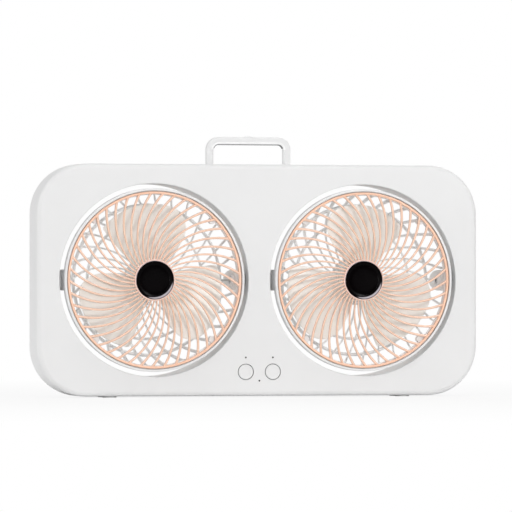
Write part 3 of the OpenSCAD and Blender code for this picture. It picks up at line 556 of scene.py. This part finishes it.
def spiral(r, turn):
    """Place and direction across a spiral rib at radius r; turn is the rib's own angle."""
    a = RIB_START + RIB_TURN * (r - HUB_RING_R) - turn
    slope = r * math.radians(RIB_TURN)
    c, s = math.cos(math.radians(a)), math.sin(math.radians(a))
    along = Vector((s + slope * c, c - slope * s, 0)).normalized()
    return clock(r, a), (-along.y, along.x, 0)


def rib_section(w):
    """Outline across a rib of width w: flat behind and rounded in front."""
    return [(-0.5 * w, -0.75), (-0.5 * w + 0.2, -1), (0.5 * w - 0.2, -1), (0.5 * w, -0.75),
            (0.5 * w, 0.25), (0.42 * w, 0.65), (0.24 * w, 0.92), (0, 1.0),
            (-0.24 * w, 0.92), (-0.42 * w, 0.65), (-0.5 * w, 0.25)]


def front_grille(side, place):
    ring, hub, ribs = Form(), Form(), Form()
    ring.turned(GRILLE_RING, 192)
    hub.turned(GRILLE_HUB, 96)
    radii = spread(RIB_IN_R, RIB_OUT_R, RIB_PLACES)
    sections = [rib_section(RIB_IN_W + RIB_GROWS * (r - RIB_IN_R) / (RIB_OUT_R - RIB_IN_R)) for r in radii]
    for i in range(RIB_COUNT):
        path, across = [], []
        for r in radii:
            (x, y), side_way = spiral(r, i * 360 / RIB_COUNT)
            path.append((x, y, RIB_Z))
            across.append(side_way)
        ribs.skin(swept(path, across, [(0, 0, 1)] * len(path), sections))
    head = side + "_head"
    ring.make(side + "_grille", head, "peach_plastic", place, [side + "_front_grille"], sharp=50)
    ribs.make(side + "_grille_ribs", head, "peach_plastic", place, sharp=50, look=PEACH_RIBS)
    hub.make(side + "_grille_hub", head, "peach_plastic", place, sharp=50, look=PEACH_HUB)


def hub_cap(side, place):
    dish, rim = Form(), Form()
    dish.turned(CAP_DISH, 96)
    dish.make(side + "_cap", side + "_head", "black_gloss", place, [side + "_hub_cap"], sharp=60)
    rim.turned(CAP_RIM, 96)
    rim.make(side + "_cap_edge", side + "_head", "black_gloss", place, sharp=60, look=CAP_EDGE_PAINTED_SHEEN)


# ---------------------------------------------------------------- fan

FAN_HUB_R, TIP_R, CORNER_TIP_R = 18.0, 65.5, 60.5
BLADE_START, BLADE_SPAN = 77.5, 82.0    # degrees clockwise from the top
ROUND_FROM = 0.6                        # share of the span where the trailing edge starts to round
CORNER_ROUND, CORNER_SHARE = 1.5, 0.03  # the small rounding at the square leading corner
ROUND_ROOT = 12                         # how far out the rounded edge starts from the hub
ROOT_LAG = 5                            # degrees that the root lags at the leading edge
BLADE_MID_Z, ROOT_DEPTH, TIP_DEPTH = 5.0, 14.0, 13.0
BLADE_THICK = 1.5
EDGE_THIN, EDGE_GROWS, TIP_THIN = 0.32, 2.6, 0.25
NOSE_REACH = 0.8

FAN_HUB = [(0, 11), (16, 11), (16, -2.5), (FAN_HUB_R, -2.5), (FAN_HUB_R, 10), (17.4, 11.8), (16.2, 12.7),
           (14.5, 13), (5, 13), (4.6, 12.6), (0, 12.6)]
FAN_BORE = soften(sleeve(1.6, 4.5, -1.5, 11.5), 0.3)
# Six ribs inside the hub: their two radii, half their width and their two depths
SPOKE_IN, SPOKE_OUT, SPOKE_HALF, SPOKE_Z = 4, 16.5, 0.7, (-1.5, 11.5)


def blade_edge(v):
    """Radius of the blade's outer edge at the share v of its span."""
    if v > ROUND_FROM:
        inner = FAN_HUB_R + ROUND_ROOT
        left = max(0, 1 - ((v - ROUND_FROM) / (1 - ROUND_FROM)) ** 3)
        return inner + (TIP_R - inner) * math.sqrt(left)
    cut = CORNER_ROUND * (1 - math.sqrt(1 - (1 - v / CORNER_SHARE) ** 2)) if v < CORNER_SHARE else 0
    return CORNER_TIP_R + (TIP_R - CORNER_TIP_R) * math.sin(math.radians(90 * v / ROUND_FROM)) - cut


def blade_form():
    """Middle surface of one blade as a grid, from its square corner to its rounded edge."""
    grid = []
    # Closer together near both edges
    shares = [0, 0.003, 0.008, 0.016, 0.03] + spread(0.06, 0.9, 28) + [0.93, 0.955, 0.975, 0.99, 0.998, 1]
    for v in shares:
        line = []
        for t in spread(0, 1, 22):
            r = FAN_HUB_R - 1 + (blade_edge(v) - FAN_HUB_R + 1) * t
            out = (r - FAN_HUB_R) / (TIP_R - FAN_HUB_R)
            x, y = clock(r, BLADE_START + BLADE_SPAN * v - ROOT_LAG * (1 - out) * (1 - v))
            depth = ROOT_DEPTH + (TIP_DEPTH - ROOT_DEPTH) * out
            # Slightly cambered: the pitch grows towards the trailing edge
            line.append(Vector((x, y, BLADE_MID_Z + depth * (0.8 * v + 0.2 * v * v - 0.5))))
        grid.append(line)
    return grid


def grid_normals(grid):
    m, n = len(grid), len(grid[0])
    normal = [[None] * n for _ in grid]
    for i in range(m):
        for j in range(n):
            u = grid[min(i + 1, m - 1)][j] - grid[max(i - 1, 0)][j]
            v = grid[i][min(j + 1, n - 1)] - grid[i][max(j - 1, 0)]
            normal[i][j] = u.cross(v).normalized()
    return normal


def blade_rings():
    """Rings across the blade: the front surface outwards, a round edge, then the back surface."""
    grid = blade_form()
    normal = grid_normals(grid)
    m, n = len(grid), len(grid[0])
    bend = spread(math.pi / 2, -math.pi / 2, 7)[1:-1]
    rings = []
    for i, (line, up) in enumerate(zip(grid, normal)):
        taper = min(1.0, EDGE_THIN + EDGE_GROWS * min(i / (m - 1), 1 - i / (m - 1)))
        half = [BLADE_THICK / 2 * taper * (1 - TIP_THIN * j / (n - 1)) for j in range(n)]
        front = [line[j] + up[j] * half[j] for j in range(n)]
        back = [line[j] - up[j] * half[j] for j in range(n)]
        way = (line[-1] - line[-2]).normalized()
        nose = [line[-1] + way * half[-1] * math.cos(b) * NOSE_REACH + up[-1] * half[-1] * math.sin(b)
                for b in bend]
        rings.append(front + nose + back[::-1])
    return rings


def fan(side, place):
    form = Form()
    rings = blade_rings()
    for turn in (0, 120, 240):
        spin = Matrix.Rotation(math.radians(turn), 3, "Z")
        form.skin([[spin @ p for p in ring] for ring in rings])
    form.turned(FAN_HUB, 96)
    form.turned(FAN_BORE, 32)
    spoke = ((SPOKE_IN, -SPOKE_HALF), (SPOKE_OUT, -SPOKE_HALF), (SPOKE_OUT, SPOKE_HALF),
             (SPOKE_IN, SPOKE_HALF))
    for turn in range(0, 360, 60):
        c, s = math.cos(math.radians(turn)), math.sin(math.radians(turn))
        form.skin([[(c * r - s * w, s * r + c * w, z) for r, w in spoke] for z in SPOKE_Z])
    # Blades in their lighter white: painted light
    form.make(side + "_rotor", side + "_fan", "white_plastic", place, [side + "_fan"], sharp=50,
              look=BLADE_WHITE_PAINTED_LIGHT)


# ---------------------------------------------------------------- rear guard

GUARD_RIBS = 30
CUP_R = 17.0
# The dish: flat out to FLAT_R, then a quarter round of DISH_R about the depth DISH_Z, up to the band
FLAT_R, DISH_R, DISH_Z = 42.0, 33.75, 12.0
BAND_R, BAND_Z = FLAT_R + DISH_R, 14.5
GUARD_RIB_W, GUARD_RIB_GROWS, GUARD_RIB_T = 0.62, 0.2, 1.25
RING_RADII = (51, 65)
RING_SECTION = soften(block(1, 1.2), 0.4, steps=3)

MOTOR_CUP = soften([(0, -23), (19, -23), (19, -20.5), (17.8, -20.5), (17.8, -6), (15.8, -6), (15.8, -20.5),
                    (0, -20.5)], 0.4, closed=False)
CUP_POST = soften(solid_bar(2.4, -21.5, -6), 0.25, closed=False)
CUP_POST_Y = 19.2
GUARD_BAND = soften([(74.5, 13), (77, 13), (77, 16), (76.9, 16), (76.9, 18), (73.4, 18), (73.4, 15),
                     (74.5, 15)], 0.3, steps=2)
SCREW_POST = soften(solid_bar(3, 13.6, 18), 0.3, closed=False)
SCREW_R, SCREW_ANGLES = 72.4, (45, 135, 225, 315)

LUG_HALF, LUG_TOP, LUG_T = 9, 15.5, 2.5
LUG_DISH_R = 35                         # the outside of the dish
LUG_BOSS = soften(sleeve(3.02, 5.5, 71, 75.5), 0.3)


def guard_path():
    """Places along the guard's middle surface, from the cup to the band, each with its outward direction."""
    out = [(r, DISH_Z - DISH_R, (0.0, -1.0)) for r in spread(CUP_R, FLAT_R, 8)]
    for a in spread(0, 90, 20)[1:]:
        c, s = math.cos(math.radians(a)), math.sin(math.radians(a))
        out.append((FLAT_R + DISH_R * s, DISH_Z - DISH_R * c, (s, -c)))
    return out + [(BAND_R, BAND_Z, (1.0, 0.0))]


def guard_rib(path, turn):
    places, across, outs, sections = [], [], [], []
    for r, z, (o_r, o_z) in path:
        (x, y), way = spiral(r, turn)
        radial = Vector((x, y, 0)).normalized()
        # The guard's ribs run the other way round
        places.append((-x, y, z))
        across.append((-way[0], way[1], 0))
        outs.append((-radial.x * o_r, radial.y * o_r, o_z))
        w = GUARD_RIB_W + GUARD_RIB_GROWS * (r - CUP_R) / (BAND_R - CUP_R)
        sections.append(soften(block(w, GUARD_RIB_T), 0.35, steps=2))
    return swept(places, across, outs, sections)


def guard_ring(ring_r):
    """Half outline of a ring that lies in the dish at the radius ring_r."""
    a = math.asin((ring_r - FLAT_R) / DISH_R)
    z = DISH_Z - DISH_R * math.cos(a)
    outward = Vector((math.sin(a), -math.cos(a)))
    along = Vector((outward.y, -outward.x))
    return [tuple(Vector((ring_r, z)) + along * u + outward * v) for u, v in RING_SECTION]


def lug():
    """Lug that follows the outside of the dish and carries the boss of the tilt pin, on the +x side."""
    part = Form()
    rows, cols = 14, 14
    skins = []
    for inset in (0, LUG_T):
        for i in range(cols + 1):
            y = -LUG_HALF + 2 * LUG_HALF * i / cols
            low = -math.sqrt(max(0, LUG_HALF ** 2 - y * y))
            for j in range(rows + 1):
                z = low + (LUG_TOP - low) * j / rows
                r = FLAT_R + LUG_DISH_R - inset
                if z < DISH_Z:
                    r = FLAT_R + math.sqrt((LUG_DISH_R - inset) ** 2 - (z - DISH_Z) ** 2)
                skins.append((math.sqrt(r * r - y * y), y, z))
    layer = (cols + 1) * (rows + 1)

    def outer(i, j):
        return i * (rows + 1) + j

    def inner(i, j):
        return layer + outer(i, j)

    faces = []
    for i in range(cols):
        for j in range(rows):
            faces += [[outer(i, j), outer(i + 1, j), outer(i + 1, j + 1), outer(i, j + 1)],
                      [inner(i, j), inner(i, j + 1), inner(i + 1, j + 1), inner(i + 1, j)]]
    edge = ([(i, 0) for i in range(cols)] + [(cols, j) for j in range(rows)] +
            [(i, rows) for i in range(cols, 0, -1)] + [(0, j) for j in range(rows, 0, -1)])
    for k, here in enumerate(edge):
        there = edge[(k + 1) % len(edge)]
        faces.append([outer(*here), inner(*here), inner(*there), outer(*there)])
    part.add(skins, faces)
    boss = Form()
    boss.turned(LUG_BOSS, 32)
    part.add([(z, y, -x) for x, y, z in boss.verts], boss.faces)
    return part


def rear_guard(side, place):
    form = Form()
    path = guard_path()
    for i in range(GUARD_RIBS):
        form.skin(guard_rib(path, i * 360 / GUARD_RIBS))
    for ring_r in RING_RADII:
        form.turned(guard_ring(ring_r), 160)
    form.turned(MOTOR_CUP, 96)
    for y in (-CUP_POST_Y, CUP_POST_Y):
        form.turned(CUP_POST, 32, (0, y))
    form.turned(GUARD_BAND, 160)
    for a in SCREW_ANGLES:
        form.turned(SCREW_POST, 32, clock(SCREW_R, a))
    part = lug()
    for s in (-1, 1):
        form.add([(s * x, y, z) for x, y, z in part.verts], part.faces)
    # The guard in its lighter copy of white plastic: painted light
    form.make(side + "_guard", side + "_head", "white_plastic", place, [side + "_rear_guard"], sharp=45,
              look=GUARD_PAINTED_LIGHT)


handle()
button("left", in_body)
button("right", in_body_mirrored)
for side, place in (("left", in_left), ("right", in_right)):
    front_grille(side, place)
    hub_cap(side, place)
    fan(side, place)
    rear_guard(side, place)
